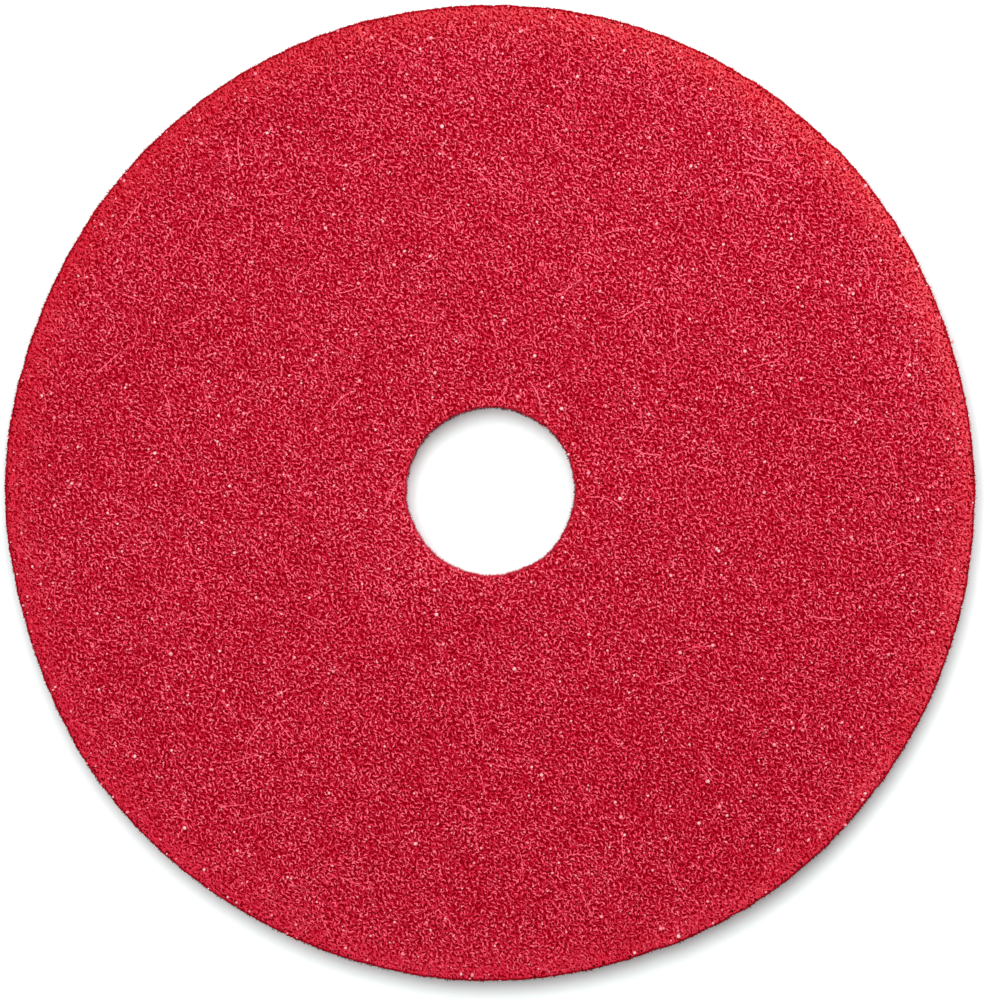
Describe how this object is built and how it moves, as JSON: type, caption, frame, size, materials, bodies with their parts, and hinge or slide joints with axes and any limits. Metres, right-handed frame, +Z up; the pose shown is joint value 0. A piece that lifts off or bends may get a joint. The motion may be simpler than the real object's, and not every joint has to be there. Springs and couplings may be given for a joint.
{
  "type": "floor pad",
  "caption": "Round red non-woven floor buffing pad: a flat die-cut disc of open fibre web with a round centre hole, for a rotary floor machine's pad driver.",
  "frame": {"origin": "centre of the pad's lower face, where the pad's axis meets the floor it lies on", "axes": "+Z up the pad's axis from the floor face to the driver face; X and Y lie in the plane of the pad, and no direction in it is special"},
  "size_m": [0.4826, 0.4826, 0.0254],
  "materials": {
    "red_fibre": "open non-woven web of crimped red fibres bonded with resin; matt, with small bright glints where fibres and resin beads catch the light"
  },
  "bodies": {
    "root": {"floor_pad": "red_fibre"}
  },
  "joints": []
}
